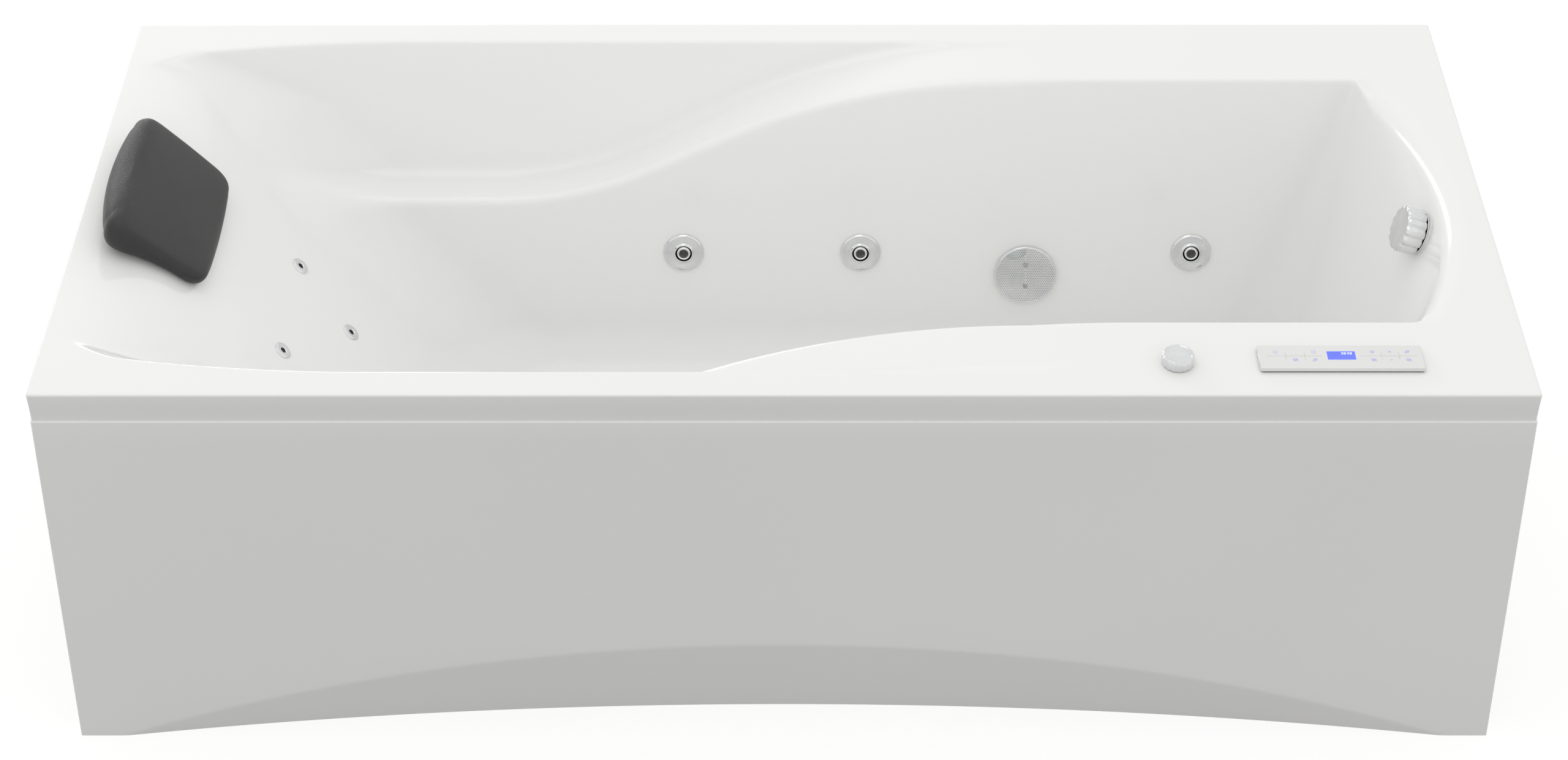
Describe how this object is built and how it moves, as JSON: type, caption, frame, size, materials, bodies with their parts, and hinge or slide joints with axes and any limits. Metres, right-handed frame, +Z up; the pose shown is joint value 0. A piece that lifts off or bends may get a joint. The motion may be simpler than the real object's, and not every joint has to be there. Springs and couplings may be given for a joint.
{
  "type": "jetted bathtub",
  "caption": "Rectangular acrylic jetted bathtub with S-shaped armrests, sloping backrest, headrest pillow, side and back jets, rim controls, front panel, steel frame and pump.",
  "frame": {"origin": "on the floor under the middle of the tub", "axes": "+X towards the foot end with the overflow, -Y towards the front panel, +Z up"},
  "size_m": [1.8, 0.8, 0.606],
  "materials": {
    "white_acrylic": "gloss",
    "birch_board": "raw",
    "galvanised_steel": "satin",
    "zinc_hardware": "satin",
    "white_pvc": "satin",
    "polished_chrome": "polished",
    "clear_hose": "satin",
    "stainless": "brushed",
    "light_glass": "frosted",
    "motor_paint": "satin",
    "black_moulding": "matte",
    "black_rubber": "matte",
    "grey_hose": "matte",
    "control_face": "gloss",
    "grey_moulding": "matte",
    "pillow_skin": "soft matte"
  },
  "bodies": {
    "tub": {"tub_shell": "white_acrylic", "base_board": "birch_board", "frame_rails": "galvanised_steel", "cross_head": "galvanised_steel", "cross_foot": "galvanised_steel", "centre_foot_plate": "galvanised_steel", "rim_posts": "galvanised_steel", "foot_lock_nuts": "zinc_hardware", "front_panel": "white_acrylic", "panel_brackets": "galvanised_steel", "jet_bodies": "white_pvc", "jet_rings": "polished_chrome", "back_jets": "polished_chrome", "water_line": "white_pvc", "air_line": "clear_hose", "suction_pipe": "white_pvc", "suction_cover": "polished_chrome", "suction_screws": "stainless", "suction_housing": "white_pvc", "light_bezel": "polished_chrome", "light_lens": "light_glass", "pump_motor": "motor_paint", "pump_wet_end": "black_moulding", "pump_base": "black_moulding", "pump_feet": "black_rubber", "overflow_body": "black_moulding", "overflow_hose": "grey_hose", "drain_body": "polished_chrome", "drain_trap": "white_pvc", "air_valve": "black_moulding", "control_glass": "control_face", "control_housing": "black_moulding", "control_box": "grey_moulding", "headrest_pillow": "pillow_skin"},
    "jet_nozzle_head_wall_side": {"jet_nozzle_head_wall_side": "polished_chrome"},
    "jet_nozzle_middle_wall_side": {"jet_nozzle_middle_wall_side": "polished_chrome"},
    "jet_nozzle_foot_wall_side": {"jet_nozzle_foot_wall_side": "polished_chrome"},
    "jet_nozzle_head_front_side": {"jet_nozzle_head_front_side": "polished_chrome"},
    "jet_nozzle_middle_front_side": {"jet_nozzle_middle_front_side": "polished_chrome"},
    "jet_nozzle_foot_front_side": {"jet_nozzle_foot_front_side": "polished_chrome"},
    "overflow_knob": {"overflow_knob": "polished_chrome"},
    "drain_plug": {"drain_plug": "polished_chrome"},
    "air_knob": {"air_knob": "polished_chrome"},
    "pump_rotor": {"pump_rotor": "stainless"},
    "levelling_foot_head_wall_side": {"levelling_foot_head_wall_side": "zinc_hardware"},
    "levelling_foot_head_front_side": {"levelling_foot_head_front_side": "zinc_hardware"},
    "levelling_foot_foot_wall_side": {"levelling_foot_foot_wall_side": "zinc_hardware"},
    "levelling_foot_foot_front_side": {"levelling_foot_foot_front_side": "zinc_hardware"},
    "levelling_foot_centre": {"levelling_foot_centre": "zinc_hardware"}
  },
  "joints": [
    {"name": "overflow_turn", "type": "hinge", "parent": "tub", "child": "overflow_knob", "pos_m": [0.82807, 0, 0.5], "axis": [-0.9397, 0, 0.342], "range_deg": [0, 95]},
    {"name": "drain_lift", "type": "slide", "parent": "tub", "child": "drain_plug", "axis": [0, 0, 1], "range_m": [0, 0.01]},
    {"name": "air_turn", "type": "hinge", "parent": "tub", "child": "air_knob", "pos_m": [0.473, -0.34, 0.563], "axis": [0, 0, 1], "range_deg": [0, 170]},
    {"name": "pump_spin", "type": "hinge", "parent": "tub", "child": "pump_rotor", "pos_m": [-0.72, 0, 0.126], "axis": [0, 1, 0], "continuous": true},
    {"name": "nozzle_tilt_head_wall_side", "type": "hinge", "parent": "tub", "child": "jet_nozzle_head_wall_side", "pos_m": [-0.139, 0.20523, 0.31255], "axis": [1, 0, 0], "range_deg": [-12, 12]},
    {"name": "nozzle_tilt_middle_wall_side", "type": "hinge", "parent": "tub", "child": "jet_nozzle_middle_wall_side", "pos_m": [0.106, 0.20523, 0.31255], "axis": [1, 0, 0], "range_deg": [-12, 12]},
    {"name": "nozzle_tilt_foot_wall_side", "type": "hinge", "parent": "tub", "child": "jet_nozzle_foot_wall_side", "pos_m": [0.564, 0.20523, 0.31255], "axis": [1, 0, 0], "range_deg": [-12, 12]},
    {"name": "nozzle_tilt_head_front_side", "type": "hinge", "parent": "tub", "child": "jet_nozzle_head_front_side", "pos_m": [-0.139, -0.20523, 0.31255], "axis": [1, 0, 0], "range_deg": [-12, 12]},
    {"name": "nozzle_tilt_middle_front_side", "type": "hinge", "parent": "tub", "child": "jet_nozzle_middle_front_side", "pos_m": [0.106, -0.20523, 0.31255], "axis": [1, 0, 0], "range_deg": [-12, 12]},
    {"name": "nozzle_tilt_foot_front_side", "type": "hinge", "parent": "tub", "child": "jet_nozzle_foot_front_side", "pos_m": [0.564, -0.20523, 0.31255], "axis": [1, 0, 0], "range_deg": [-12, 12]},
    {"name": "foot_level_head_wall_side", "type": "slide", "parent": "tub", "child": "levelling_foot_head_wall_side", "axis": [0, 0, 1], "range_m": [-0.012, 0.012]},
    {"name": "foot_level_head_front_side", "type": "slide", "parent": "tub", "child": "levelling_foot_head_front_side", "axis": [0, 0, 1], "range_m": [-0.012, 0.012]},
    {"name": "foot_level_foot_wall_side", "type": "slide", "parent": "tub", "child": "levelling_foot_foot_wall_side", "axis": [0, 0, 1], "range_m": [-0.012, 0.012]},
    {"name": "foot_level_foot_front_side", "type": "slide", "parent": "tub", "child": "levelling_foot_foot_front_side", "axis": [0, 0, 1], "range_m": [-0.012, 0.012]},
    {"name": "foot_level_centre", "type": "slide", "parent": "tub", "child": "levelling_foot_centre", "axis": [0, 0, 1], "range_m": [-0.012, 0.012]}
  ],
  "couplings": [
    {"joint": "drain_lift", "follows": "overflow_turn", "m_per_rad": 0.00603}
  ]
}
